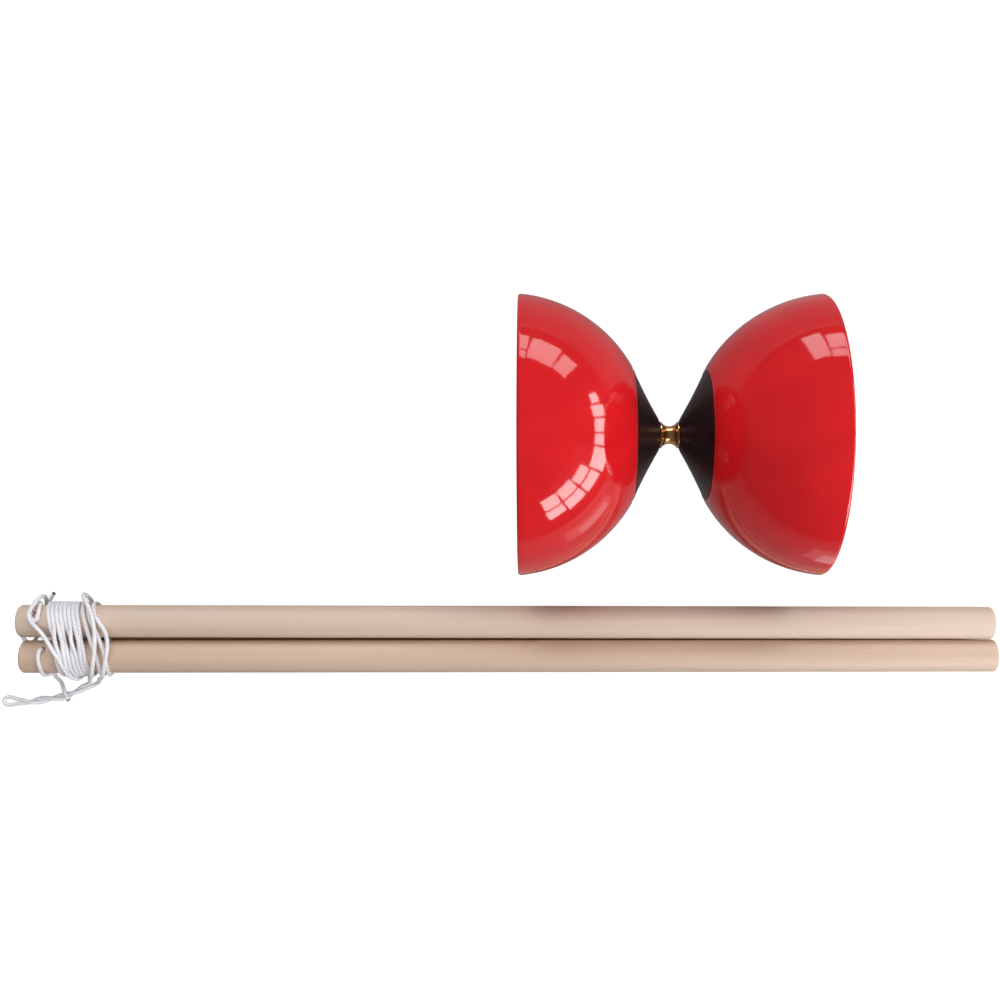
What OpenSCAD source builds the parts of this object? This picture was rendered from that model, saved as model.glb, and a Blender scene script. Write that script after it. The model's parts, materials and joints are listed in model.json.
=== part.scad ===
// Diabolo with its two hand sticks, the sticks laid side by side and bound with the playing string.
// +X runs along the axle and the sticks, +Y from the sticks to the diabolo, +Z up from the resting surface.
// The origin is on the resting surface, under the middle of the diabolo and sticks together.

/* [Cups] */
// Largest radius of a cup, at its rim
cup_r = 47.5; // [46.5:0.1:48.5]
// Distance from the middle of the axle to the rim of a cup
half_width = 51.2; // [50.5:0.1:52.5]
// Radius of the arc that the outside of a cup follows
bowl_r = 48.75; // [48.5:0.05:49.5]
// How far past the axle line the centre of that arc lies
bowl_drop = 1; // [0.8:0.1:1.4]
// Wall thickness of a cup
cup_wall = 2.4; // [2:0.1:3]
// Thickness of the flange that closes the neck of a cup
flange_t = 2.6; // [2:0.1:3]
// Depth of the flat land ground on the rounded rim
rim_land = 0.2; // [0.1:0.05:0.4]

/* [Hubs] */
// Distance from the middle of the axle to the seam between hub and cup
seam_t = 12.4; // [12:0.1:12.8]
// How far the cup's lip stands above the hub at the seam
lip_step = 0.4; // [0.2:0.1:0.6]
// Radius of the arc that hollows the flank of a hub
flank_r = 176; // [150:1:260]
// Radius of the spigot that centres the cup
spigot_r = 16; // [14:0.5:17]

/* [Axle] */
// Length of the brass spool that the string runs on
spool_len = 6.2; // [5.6:0.1:7]
// Radius of the spool at its ends
spool_end_r = 4.5; // [4.2:0.1:4.8]
// Radius of the spool at its waist
waist_r = 3; // [2.8:0.1:3.3]
// Width of the plain land at each end of the spool
spool_land = 0.35; // [0.3:0.05:0.5]
// Diameter of the threaded rod through everything
rod_d = 4; // [3.8:0.1:4.2]
// Length of the threaded rod
rod_len = 64; // [60:1:70]

/* [Clamping parts] */
// Radius of the disc that clamps the cup's flange from inside
disc_r = 21; // [19:0.5:21.5]
// Thickness of that disc
disc_t = 2.5; // [2:0.1:3]
// Radius of the boss on the disc
boss_r = 7; // [6.5:0.5:8]
// Height of the boss above the disc
boss_h = 2; // [1.5:0.1:2.5]
// Number of ribs on the disc
rib_count = 6; // [3:1:10]
// Radius of the washer
washer_r = 6; // [5:0.5:6.5]
// Thickness of the washer
washer_t = 1; // [0.8:0.1:1.2]
// Width across the flats of the lock nut
nut_flats = 7; // [6.8:0.1:7.2]
// Height of the lock nut with its collar
nut_h = 5; // [4.8:0.1:5.4]
// Height of the six-sided part of the lock nut
hex_h = 3.4; // [3:0.1:3.8]

/* [Sticks] */
// Diameter of a hand stick
stick_d = 12; // [11.5:0.1:12.5]
// Length of a hand stick
stick_len = 361.5; // [340:0.5:380]
// Width of the broken edge at a stick's ends
stick_edge = 0.5; // [0.2:0.1:1]
// Gap between the sticks at their bound ends
gap_left = 1.25; // [1:0.05:1.6]
// Gap between the sticks at their free ends
gap_right = 0.2; // [0.15:0.05:0.5]
// Diameter of the cross hole for the string
hole_d = 2.5; // [2.2:0.1:3]
// Distance of the front stick's cross hole from its end
front_hole_in = 8.5; // [8:0.1:8.6]
// Distance of the back stick's cross hole from its end
back_hole_in = 6; // [5.5:0.1:6.5]
// Lean of the cross holes away from upright
hole_lean = 33; // [25:1:40]

/* [String] */
// Diameter of the string
string_d = 1.5; // [1.4:0.1:1.6]
// Length along the sticks that the neat turns cover
wind_len = 13; // [11:0.5:14]
// Slant of the turns
wind_slant = 10; // [6:1:12]
// Place of the middle of the turns along X
wind_x = -163.2; // [-164:0.1:-162]
// Diameter of the twisted pair that forms the tail
tail_d = 2.4; // [2.2:0.1:2.6]
// Radius of the knots under the cross holes
knot_r = 1.5; // [1.3:0.1:1.6]

/* [Placing] */
// Depth of the whole set along Y
set_depth = 134.1; // [132:0.1:138]
// Place of the middle of the axle along X
axle_x = 55.2; // [40:0.1:70]

/* [Hidden] */
$fn = 96;

// Distances along the axle from its middle, outwards through the clamped stack.
nose_t = spool_len / 2;
flange_end = seam_t + flange_t;
disc_end = flange_end + disc_t;
boss_end = disc_end + boss_h;
washer_end = boss_end + washer_t;

// The arc of the cup's outside, from the rim bead's centre.
bead_r = cup_wall / 2;
bead_c = [cup_r - bead_r, half_width + rim_land - bead_r];
mid_r = bowl_r - bead_r;
rim_angle = -acos((bead_c[0] + bowl_drop) / mid_r);
bowl_c = [-bowl_drop, bead_c[1] - mid_r * sin(rim_angle)];
seam_angle = -asin((bowl_c[1] - seam_t) / bowl_r);
seam_r = bowl_c[0] + bowl_r * cos(seam_angle);

// Radial clearances: parts that are clamped together, and the sticks in the turns of string.
ease = 0.05;
stick_ease = 0.08;

// The flank of a hub, a straight line hollowed by a large arc.
flank_a = [spool_end_r + 0.1, nose_t];
flank_b = [seam_r - lip_step, seam_t];
flank_mid = (flank_a + flank_b) / 2;
flank_half = norm(flank_b - flank_a) / 2;
flank_dir = (flank_b - flank_a) / (2 * flank_half);
flank_c = flank_mid + [flank_dir[1], -flank_dir[0]] * sqrt(flank_r * flank_r - flank_half * flank_half);

// The hollow of the spool.
hollow_half = nose_t - spool_land;
hollow_depth = spool_end_r - waist_r;
hollow_r = (hollow_half * hollow_half + hollow_depth * hollow_depth) / (2 * hollow_depth);

// The sticks: their free ends lie on the surface, and two layers of string lift the bound ends.
// The front stick is square to the axle's cross direction, and the back one spreads away from it.
axle_y = set_depth / 2 - cup_r;
stick_r = stick_d / 2;
turn_r = stick_r + string_d;
wind_z = stick_r + 2 * string_d;
lift = asin(2 * string_d / (stick_len / 2 - wind_x));
spread = asin((gap_left - gap_right) / stick_len);
front_y = -set_depth / 2 + stick_r;
pitch_right = stick_d + gap_right;
// Distance between the middles of the sticks where the string is wound.
wind_pitch = pitch_right + (stick_len / 2 - wind_x) * tan(spread);
// The front stick lies a little further right than the back one.
stagger = 1.1;

// The route of the twisted tail, from the foot of the turns to its loop.
tail_route = [
    [-156, -66.6, 3], [-157, -69, 2], [-159, -72, 1.5], [-161.5, -74.2, 1.3],
    [-164, -75.5, 1.3], [-167, -76.8, 1.3], [-170, -77.5, 1.3], [-173, -77.9, 1.3],
    [-176, -78.3, 1.3], [-179, -78.9, 1.3], [-182, -79.3, 1.3], [-185, -79.1, 1.3],
    [-186.8, -79, 1.3],
];
tail_loop_c = [-189.2, -79];
tail_loop_r = 1.75;

// --- Shared shapes ---

// Stands a shape drawn along +Z on the axle line; side is 1 for the right half and -1 for the left.
module on_axle(side) {
    translate([axle_x, axle_y, cup_r]) rotate([0, 90 * side, 0]) children();
}

// Lays a shape drawn along +Z, base at the free end, on the line of a stick: 0 is the front one, 1 the back one.
module on_stick(back) {
    translate([(stick_len + stagger) / 2 - back * stagger, front_y + back * pitch_right, stick_r])
        rotate([0, lift, -back * spread]) rotate([0, -90, 0]) children();
}

// Flat ring section from radius a to b, between heights lo and hi.
module band(a, b, lo, hi) {
    translate([a, lo]) square([b - a, hi - lo]);
}

// One ring of a swept tube, square to the route at its point i.
function ring(path, i, r, sides) =
    let (
        a = path[max(i - 1, 0)],
        b = path[min(i + 1, len(path) - 1)],
        along = (b - a) / norm(b - a),
        across = cross([0, 0, 1], along) / norm(cross([0, 0, 1], along)),
        up = cross(along, across)
    )
    [for (k = [0:sides - 1]) path[i] + r * (cos(360 * k / sides) * across + sin(360 * k / sides) * up)];

// A tube of radius r swept along a route.
module tube(path, r, sides = 8) {
    n = len(path);
    points = [for (i = [0:n - 1]) each ring(path, i, r, sides)];
    start = [[for (k = [0:sides - 1]) k]];
    end = [[for (k = [sides - 1:-1:0]) (n - 1) * sides + k]];
    skin = [
        for (i = [0:n - 2], k = [0:sides - 1])
            let (j = (k + 1) % sides)
            [i * sides + k, (i + 1) * sides + k, (i + 1) * sides + j, i * sides + j]
    ];
    polyhedron(points = points, faces = concat(start, end, skin));
}

// --- Diabolo ---

// Section of a cup: a bowl of even wall with a rounded rim, closed at its neck by a flange.
module cup_section() {
    reach = 2 * bowl_r;
    difference() {
        union() {
            intersection() {
                difference() {
                    translate(bowl_c) circle(r = bowl_r, $fn = 360);
                    translate(bowl_c) circle(r = bowl_r - cup_wall, $fn = 360);
                }
                polygon([
                    bowl_c,
                    bowl_c + reach * [cos(rim_angle), sin(rim_angle)],
                    [reach, seam_t],
                    [seam_r - cup_wall, seam_t],
                ]);
            }
            translate(bead_c) circle(r = bead_r);
            intersection() {
                band(spigot_r + ease, seam_r + 4, seam_t, flange_end);
                translate(bowl_c) circle(r = bowl_r, $fn = 360);
            }
        }
        band(0, cup_r + 5, half_width, half_width + 5);
        band(0, spigot_r + ease, 0, half_width);
    }
}

module cup(side) {
    color([0.8, 0.09, 0.1]) on_axle(side) rotate_extrude() cup_section();
}

// Black cone between the spool and the cup, with a spigot that centres the cup.
module hub(side) {
    color([0.11, 0.07, 0.08]) on_axle(side) difference() {
        rotate_extrude() difference() {
            union() {
                polygon([[0, nose_t], flank_a, flank_b, [0, seam_t]]);
                band(0, spigot_r, seam_t - 1, flange_end - 0.1);
            }
            translate(flank_c) circle(r = flank_r, $fn = 720);
        }
        translate([0, 0, nose_t - 1]) cylinder(r = rod_d / 2 + ease, h = flange_end);
    }
}

// Brass spool that the string runs on, hollowed to a waist.
module axle_spool() {
    color([0.78, 0.6, 0.32]) on_axle(1) difference() {
        rotate_extrude() difference() {
            band(0, spool_end_r, -nose_t, nose_t);
            translate([waist_r + hollow_r, 0]) circle(r = hollow_r);
        }
        cylinder(r = rod_d / 2 + ease, h = spool_len + 2, center = true);
    }
}

// Threaded rod through the whole diabolo, with pointed ends for the nuts.
module axle_rod() {
    r = rod_d / 2;
    lead = 0.5;
    color([0.62, 0.63, 0.65]) on_axle(1) rotate_extrude() polygon([
        [0, -rod_len / 2], [r - lead, -rod_len / 2], [r, lead - rod_len / 2],
        [r, rod_len / 2 - lead], [r - lead, rod_len / 2], [0, rod_len / 2],
    ]);
}

// Ribbed disc inside a cup, which presses the cup's flange against the hub.
module clamp_disc(side) {
    rib_w = 1.4;
    rib_h = 1.4;
    color([0.13, 0.12, 0.13]) on_axle(side) difference() {
        union() {
            translate([0, 0, flange_end]) cylinder(r = disc_r, h = disc_t);
            translate([0, 0, disc_end]) cylinder(r = boss_r, h = boss_h);
            for (k = [0:rib_count - 1]) rotate([0, 0, 360 * k / rib_count])
                translate([boss_r - 1, -rib_w / 2, disc_end - 0.5])
                    cube([disc_r - boss_r - 1, rib_w, rib_h + 0.5]);
        }
        translate([0, 0, flange_end - 1]) cylinder(r = rod_d / 2 + ease, h = disc_t + boss_h + 2);
    }
}

module washer(side) {
    color([0.7, 0.71, 0.73]) on_axle(side) translate([0, 0, boss_end]) difference() {
        cylinder(r = washer_r, h = washer_t);
        translate([0, 0, -1]) cylinder(r = rod_d / 2 + 3 * ease, h = washer_t + 2);
    }
}

// Seat of the nylon ring in the collar of the lock nut.
seat_r = 2.75;
seat_lo = 3.5;
seat_hi = 4.7;

// Six-sided nut with a round collar that holds a nylon ring.
module lock_nut(side) {
    hex_r = nut_flats / 2 / cos(30);
    collar_r = nut_flats / 2 - 0.3;
    color([0.74, 0.75, 0.77]) on_axle(side) translate([0, 0, washer_end]) difference() {
        union() {
            intersection() {
                linear_extrude(height = hex_h) circle(r = hex_r, $fn = 6);
                cylinder(r1 = hex_r - 0.3, r2 = hex_r + 3, h = 3.3 + hex_h);
            }
            translate([0, 0, hex_h - 1]) cylinder(r = collar_r, h = nut_h - hex_h + 1);
        }
        translate([0, 0, -1]) cylinder(r = rod_d / 2 + ease / 2, h = nut_h + 2);
        translate([0, 0, seat_lo]) cylinder(r = seat_r, h = seat_hi - seat_lo);
    }
}

module nylon_ring(side) {
    color([0.85, 0.87, 0.9]) on_axle(side) translate([0, 0, washer_end + seat_lo]) difference() {
        cylinder(r = seat_r, h = seat_hi - seat_lo);
        translate([0, 0, -1]) cylinder(r = rod_d / 2 + ease / 2, h = nut_h);
    }
}

// --- Sticks ---

// Turned wooden stick with broken edges and a cross hole near its bound end.
module stick(back, hole_in) {
    color([0.87, 0.79, 0.7]) on_stick(back) difference() {
        rotate_extrude() polygon([
            [0, 0], [stick_r - stick_edge, 0], [stick_r, stick_edge],
            [stick_r, stick_len - stick_edge], [stick_r - stick_edge, stick_len], [0, stick_len],
        ]);
        across_stick(hole_in) cylinder(r = hole_d / 2, h = stick_d + 4, center = true);
    }
}

// Stands a shape drawn along +Z on the axis of a stick's cross hole, +Z up and towards the diabolo.
module across_stick(hole_in) {
    translate([0, 0, stick_len - hole_in]) rotate([0, 0, hole_lean]) rotate([0, 90, 0]) children();
}

// --- String ---

// The string's end in a cross hole, stopped by a knot on the lower side.
module string_end(back, hole_in) {
    sink = stick_r + sqrt(knot_r * knot_r - hole_d * hole_d / 4) - 0.05;
    color([0.95, 0.95, 0.95]) on_stick(back) across_stick(hole_in) {
        translate([0, 0, -sink]) cylinder(r = string_d / 2, h = sink + stick_r + 0.4);
        translate([0, 0, -sink]) sphere(r = knot_r);
    }
}

// The turns round both sticks, as one closed shape with the turns' slant. A second layer of string
// lies under them on the surface.
module string_winding() {
    reach = 60;
    color([0.93, 0.93, 0.93]) difference() {
        intersection() {
            translate([wind_x, front_y, wind_z]) rotate([90, 0, 90]) union() {
                for (y = [0, wind_pitch]) translate([y, 0, 0]) cylinder(r = turn_r, h = reach, center = true);
                translate([0, -wind_z, -reach / 2]) cube([wind_pitch, wind_z + turn_r, reach]);
            }
            translate([wind_x, front_y + wind_pitch / 2, wind_z]) rotate([0, 0, wind_slant])
                cube([wind_len * cos(wind_slant), reach, reach], center = true);
        }
        for (back = [0, 1]) on_stick(back) cylinder(r = stick_r + stick_ease, h = stick_len);
    }
}

module string_tail() {
    color([0.93, 0.93, 0.93]) tube(tail_route, tail_d / 2);
}

module string_tail_loop() {
    color([0.93, 0.93, 0.93]) translate([tail_loop_c[0], tail_loop_c[1], string_d / 2])
        rotate_extrude() translate([tail_loop_r, 0]) circle(r = string_d / 2);
}

cup(-1);  // cup_left
cup(1);  // cup_right
hub(-1);  // hub_left
hub(1);  // hub_right
axle_spool();
axle_rod();
clamp_disc(-1);  // clamp_disc_left
clamp_disc(1);  // clamp_disc_right
washer(-1);  // washer_left
washer(1);  // washer_right
lock_nut(-1);  // lock_nut_left
lock_nut(1);  // lock_nut_right
nylon_ring(-1);  // nylon_ring_left
nylon_ring(1);  // nylon_ring_right
stick(1, back_hole_in);  // stick_back
stick(0, front_hole_in);  // stick_front
string_end(1, back_hole_in);  // string_end_back
string_end(0, front_hole_in);  // string_end_front
string_winding();
string_tail();
string_tail_loop();
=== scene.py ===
"""Looks of a diabolo that lies beside its two hand sticks, which are bound with the playing string."""

import json
import math

import bmesh
import bpy
import numpy as np
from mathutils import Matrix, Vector


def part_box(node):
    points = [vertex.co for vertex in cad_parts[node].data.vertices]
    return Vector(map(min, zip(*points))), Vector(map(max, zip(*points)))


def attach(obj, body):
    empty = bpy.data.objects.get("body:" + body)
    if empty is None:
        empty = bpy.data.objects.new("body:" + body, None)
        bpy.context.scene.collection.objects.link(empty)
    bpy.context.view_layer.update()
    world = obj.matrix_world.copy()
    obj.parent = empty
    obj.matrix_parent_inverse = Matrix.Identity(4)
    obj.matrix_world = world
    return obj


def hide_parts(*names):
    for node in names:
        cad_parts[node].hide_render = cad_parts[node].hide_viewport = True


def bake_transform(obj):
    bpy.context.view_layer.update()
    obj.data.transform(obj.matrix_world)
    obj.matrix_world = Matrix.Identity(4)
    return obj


MM = 0.001
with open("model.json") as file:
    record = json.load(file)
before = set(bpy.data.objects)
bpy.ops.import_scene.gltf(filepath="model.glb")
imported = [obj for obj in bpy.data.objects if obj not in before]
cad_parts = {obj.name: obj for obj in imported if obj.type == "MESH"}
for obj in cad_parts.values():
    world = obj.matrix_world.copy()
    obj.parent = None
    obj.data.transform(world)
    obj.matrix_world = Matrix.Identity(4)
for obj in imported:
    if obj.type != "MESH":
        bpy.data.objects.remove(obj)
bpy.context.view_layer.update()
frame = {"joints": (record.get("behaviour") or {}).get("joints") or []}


# --- Places taken from the frame, in millimetres ---

def node_box(node):
    """Lowest and highest corner of a CAD node, in millimetres."""
    low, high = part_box(node)
    return np.array(low) / MM, np.array(high) / MM


def node_middle(node):
    low, high = node_box(node)
    return (low + high) / 2


def joint_axis(name):
    axis = next(j["axis"] for j in frame["joints"] if j["name"] == name)
    return np.array(axis) / np.linalg.norm(axis)


AXLE = node_middle("axle_spool")
CUP_R = node_box("cup_left")[1][2] - AXLE[2]
HALF_WIDTH = AXLE[0] - node_box("cup_left")[0][0]
STICK_R = 6.0
STICK_LEN = 361.5
HOLE_R = 1.25
HOLE_LEAN = math.radians(33)
STRING_D = 1.5


class Stick:
    """A hand stick: its body, its line, and the cross hole near its bound end."""

    def __init__(self, body, node, joint, hole_in):
        self.body = body
        self.node = node
        self.middle = node_middle(node)
        self.along = joint_axis(joint)
        self.end = self.middle - self.along * STICK_LEN / 2
        self.hole = self.end + self.along * hole_in
        up = np.array([0, math.sin(HOLE_LEAN), math.cos(HOLE_LEAN)])
        up -= self.along * (up @ self.along)
        self.hole_up = up / np.linalg.norm(up)

    def at(self, x):
        return self.middle + self.along * ((x - self.middle[0]) / self.along[0])

    def hug(self, degrees, x, r):
        """Point at a distance from the stick's line; 0 degrees is +Y and 90 is up."""
        a = math.radians(degrees)
        return self.at(x) + r * np.array([0, math.cos(a), math.sin(a)])


BACK = Stick("back_stick", "stick_back", "back_stick_slide", 6.0)
FRONT = Stick("front_stick", "stick_front", "front_stick_slide", 8.5)


# --- Camera ---

SENSOR_WIDTH = 36
FOCAL_LENGTH = 43.65
CAMERA_SHIFT = (-0.0343, -0.0108)
CAMERA_FROM_AXLE = (-45.76, -18.4, 412.1)


def make_camera():
    """Looks straight down, as the photograph does."""
    data = bpy.data.cameras.new("camera")
    data.sensor_width = SENSOR_WIDTH
    data.lens = FOCAL_LENGTH
    data.shift_x, data.shift_y = CAMERA_SHIFT
    data.clip_start = 0.01
    camera = bpy.data.objects.new("camera", data)
    camera.location = Vector((AXLE + CAMERA_FROM_AXLE) * MM)
    bpy.context.scene.collection.objects.link(camera)
    bpy.context.scene.camera = camera


# --- Curves ---

CURVE_STEP = 0.2
ROUTE_STEP = 0.4
END_STEP = 0.3


def resample(line, step):
    line = np.asarray(line, float)
    s = np.r_[0, np.cumsum(np.linalg.norm(np.diff(line, axis=0), axis=1))]
    count = max(2, int(round(s[-1] / step)) + 1)
    u = np.linspace(0, s[-1], count)
    return np.stack([np.interp(u, s, line[:, k]) for k in range(3)], 1)


def smooth_curve(points, step, passes=0):
    """Centripetal Catmull-Rom curve through points, with even steps and its bends eased."""
    p = np.asarray(points, float)
    p = p[np.r_[True, np.linalg.norm(np.diff(p, axis=0), axis=1) > 1e-6]]
    p = np.vstack([2 * p[0] - p[1], p, 2 * p[-1] - p[-2]])
    parts = []
    for a, b, c, d in zip(p, p[1:], p[2:], p[3:]):
        t1 = np.linalg.norm(b - a) ** 0.5
        t2 = t1 + np.linalg.norm(c - b) ** 0.5
        t3 = t2 + np.linalg.norm(d - c) ** 0.5
        count = max(2, int(np.linalg.norm(c - b) / CURVE_STEP))
        t = np.linspace(t1, t2, count, endpoint=False)[:, None]
        a1 = (t1 - t) / t1 * a + t / t1 * b
        a2 = (t2 - t) / (t2 - t1) * b + (t - t1) / (t2 - t1) * c
        a3 = (t3 - t) / (t3 - t2) * c + (t - t2) / (t3 - t2) * d
        b1 = (t2 - t) / t2 * a1 + t / t2 * a2
        b2 = (t3 - t) / (t3 - t1) * a2 + (t - t1) / (t3 - t1) * a3
        parts.append((t2 - t) / (t2 - t1) * b1 + (t - t1) / (t2 - t1) * b2)
    line = resample(np.vstack(parts + [p[-2:-1]]), step)
    for _ in range(passes):
        line[1:-1] = (line[:-2] + 2 * line[1:-1] + line[2:]) / 4
    return line


def cubic(t, ts, vs):
    """Smooth values at t through (ts, vs), with ts rising."""
    slope = np.gradient(vs, ts)
    i = np.clip(np.searchsorted(ts, t, side="right") - 1, 0, len(ts) - 2)
    h = ts[i + 1] - ts[i]
    u = (t - ts[i]) / h
    start = (2 * u ** 3 - 3 * u ** 2 + 1) * vs[i] + (u ** 3 - 2 * u ** 2 + u) * h * slope[i]
    end = (3 * u ** 2 - 2 * u ** 3) * vs[i + 1] + (u ** 3 - u ** 2) * h * slope[i + 1]
    return start + end


# --- Route of the string ---
# A station runs round both sticks: 0 is the back, 1 the top of the back stick, 2 the top of the front
# stick, 3 the front, 4 and 5 the undersides, and 6 the back again. Level 1 lies on the wood, 2 on level 1.
# SNUG is how far string on the wood is from its stick's line, and LAID the height of string on the floor.

ROUND = 6
STATION_STEP = 0.08
SNUG = 6.76
LAID = 0.76


def station(w, x, level):
    r = STICK_R + STRING_D * (level - 0.5)
    w = w % ROUND
    if w < 1 or w >= 5:
        return BACK.hug(90 * (w if w < 1 else w - ROUND), x, r)
    if 2 <= w < 4:
        return FRONT.hug(90 * (w - 1), x, r)
    up = np.array([0, 0, r if w < 2 else -r])
    if w < 2:
        return BACK.at(x) + (FRONT.at(x) - BACK.at(x)) * (w - 1) + up
    return FRONT.at(x) + (BACK.at(x) - FRONT.at(x)) * (w - 4) + up


def follow(stations):
    """Points through (station, x, level) rows, in their order."""
    rows = np.array(stations, float)
    step = math.copysign(STATION_STEP, rows[-1, 0] - rows[0, 0])
    w = np.arange(rows[0, 0], rows[-1, 0] + step / 2, step)
    rows = rows[np.argsort(rows[:, 0])]
    x = cubic(w, rows[:, 0], rows[:, 1])
    level = cubic(w, rows[:, 0], rows[:, 2])
    return [station(*row) for row in zip(w, x, level)]


FIRST_X = -169.3
TURN_PITCH = 3.0
NEAT_TURNS = 4
SLANT = 1.95
SWAY = 0.6
GAP_STATION = 1.5
CROSSING_WIDTH = 0.3
CROSSING_ROLL = math.radians(78)


def pair_strand(w, side):
    """One strand of the doubled string in its neat turns; over the gap one strand rides on the other."""
    phase = 2 * math.pi * w / ROUND
    x = FIRST_X + TURN_PITCH * w / ROUND + SLANT * (1 - math.cos(phase)) + SWAY * math.sin(phase)
    roll = CROSSING_ROLL * math.exp(-(((w % ROUND) - GAP_STATION) / CROSSING_WIDTH) ** 2)
    over = 1 if int(w // ROUND) % 2 == 0 else -1
    x += side * STRING_D / 2 * math.cos(roll)
    return station(w, x, 1 + side * over * 0.5 * math.sin(roll))


TAIL_LINE = [
    (-160.6, -73.7), (-164, -75.5), (-167, -76.8), (-170, -77.5), (-173, -77.9), (-176, -78.3),
    (-179, -78.9), (-182, -79.3), (-185, -79.1),
]
TAIL_HEIGHT = 1.53
TAIL_TWISTS = 1.5
STRAND_OFFSET = 0.78


def twisted_tail():
    """The two strands of the tail, wound round each other, from the turns to the bight."""
    middle = smooth_curve([(x, y, TAIL_HEIGHT) for x, y in TAIL_LINE], ROUTE_STEP)
    along = np.gradient(middle, axis=0)
    along /= np.linalg.norm(along, axis=1)[:, None]
    side = np.cross([0, 0, 1], along)
    side /= np.linalg.norm(side, axis=1)[:, None]
    up = np.cross(along, side)
    angle = math.pi + 2 * math.pi * TAIL_TWISTS * np.linspace(0, 1, len(middle))[:, None]
    offset = STRAND_OFFSET * (np.cos(angle) * side + np.sin(angle) * up)
    return list(middle + offset), list(middle - offset)


BIGHT_CENTRE = (-189.4, -79, 0.78)
BIGHT_REACH = 2
BIGHT_HALF_WIDTH = 1.75


def bight(first, last):
    """Points round the end of the tail, from the first strand to the last one."""
    side = 1 if first[1] > last[1] else -1
    x, y, z = BIGHT_CENTRE
    angles = np.radians([50, 90, 130, 180, 230, 270, 310])
    return [(x + BIGHT_REACH * math.cos(a), y + side * BIGHT_HALF_WIDTH * math.sin(a), z) for a in angles]


# On top of the back stick, where the slack loop ends and the long string begins.
LOOP_TOP = (-174.4, -46.9, 17.7)


def back_half():
    """The string from the back stick's lead, round the sticks, to the tail."""
    route = [
        (-177.0, -42.4, 2.3), (-178.2, -44.3, 1.0), (-180.0, -46.5, LAID), (-181.9, -48.9, LAID),
        (-183.6, -51.5, LAID), (-184.2, -53.8, LAID), (-183.5, -56.0, LAID), (-181.5, -57.1, LAID),
        (-179.5, -56.1, LAID), (-178.6, -53.9, LAID), (-178.3, -51.3, LAID), (-177.4, -49.0, LAID),
        (-176.2, -47.2, 1.1), (-175.2, -45.6, 1.9), (-174.6, -44.1, 2.6), (-174.0, -42.4, 3.4),
        (-173.6, -40.8, 4.6), (-173.2, -39.3, 6.3), (-173.1, -38.5, 8.3), (-173.4, -38.7, 10.5),
        (-174.0, -39.9, 12.9), (-174.5, -41.6, 15.0), (-174.9, -43.2, 16.8), (-175.0, -45.0, 17.6),
        LOOP_TOP, (-172.9, -48.6, 17.3),
    ]
    # over the neat turns to the front, and back underneath to where they begin
    route += follow([
        (1.35, -169.6, 1.9), (1.5, -168.3, 2.05), (1.75, -166.4, 2.05), (2, -164.2, 2.05),
        (2.5, -161.6, 2.05), (3, -160.0, 2.05), (3.5, -160.0, 2.05), (4, -162.0, 2.0),
        (4.5, -165.8, 2.0), (5, -168.7, 1.95), (5.5, -169.1, 1.3), (6, FIRST_X + 0.75, 1),
    ])
    route += [pair_strand(w, 1) for w in np.arange(STATION_STEP, ROUND * NEAT_TURNS, STATION_STEP)]
    # a loose turn, and the slack loop behind the back stick
    route += follow([
        (24, FIRST_X + 12.75, 1), (25, -152.7, 1), (25.5, -149.7, 1), (26, -147.7, 1),
        (27, -148.0, 1), (27.8, -149.0, 1.1), (28.3, -150.6, 1.9), (28.6, -152.2, 2), (29, -154.6, 2),
    ])
    route += [
        (-156.2, -45.0, 0.9), (-157.1, -41.9, 2.0), (-157.4, -40.0, 4.0), (-157.6, -38.6, 6.6),
        (-157.5, -37.7, 9.5), (-156.9, -38.0, 12.6), (-155.5, -39.4, 15.1), (-153.8, -41.2, 16.6),
    ]
    route += follow([
        (0.8, -152.1, 2.05), (1, -151.5, 2.05), (1.25, -151.1, 2.05), (1.5, -151.0, 2.05),
        (1.75, -151.1, 2.05), (2, -151.4, 2.05), (2.5, -153.0, 2.05), (3, -155.8, 2.05),
    ])
    return route + [(-156.9, -69.6, 6.2), (-157.4, -70.7, 3.9), (-158.6, -72.2, 1.9)]


def front_half():
    """The string from the tail, back round the sticks, to the front stick's lead."""
    route = [(-157.9, -73.4, 0.8), (-155.6, -72.1, 1.2), (-154.0, -70.9, 3.6), (-153.2, -69.9, 6.2)]
    route += follow([
        (33, -152.2, 2.05), (32.5, -148.8, 2.1), (32, -147.0, 2.1), (31.75, -146.5, 2.0),
        (31.5, -146.5, 1.8), (31.25, -147.4, 1.4), (31, -149.7, 1), (30.75, -151.7, 1),
        (30.5, -152.8, 1), (30, -153.7, 1), (29.5, -153.4, 1), (29, -152.8, 1), (28, -151.4, 1),
        (27, -150.6, 1), (26, -150.8, 1), (25.5, -153.1, 1), (25, -155.0, 1), (24, FIRST_X + 11.25, 1),
    ])
    stations = np.arange(ROUND * NEAT_TURNS - STATION_STEP, STATION_STEP / 2, -STATION_STEP)
    route += [pair_strand(w, -1) for w in stations]
    return route + follow([
        (0, FIRST_X - 0.75, 1), (-0.5, -170.5, 1), (-1, -170.2, 1), (-1.5, -169.7, 1), (-2.1, -168.9, 1),
    ])


def string_route():
    first, last = twisted_tail()
    route = back_half() + first + bight(first[-1], last[-1]) + last[::-1] + front_half()
    return smooth_curve(route, ROUTE_STEP, passes=12)


KNOT_R = 0.65
KNOT_RISE = 0.74
KNOT_OPENING = 0.45
KNOT_POINTS = 44


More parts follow.
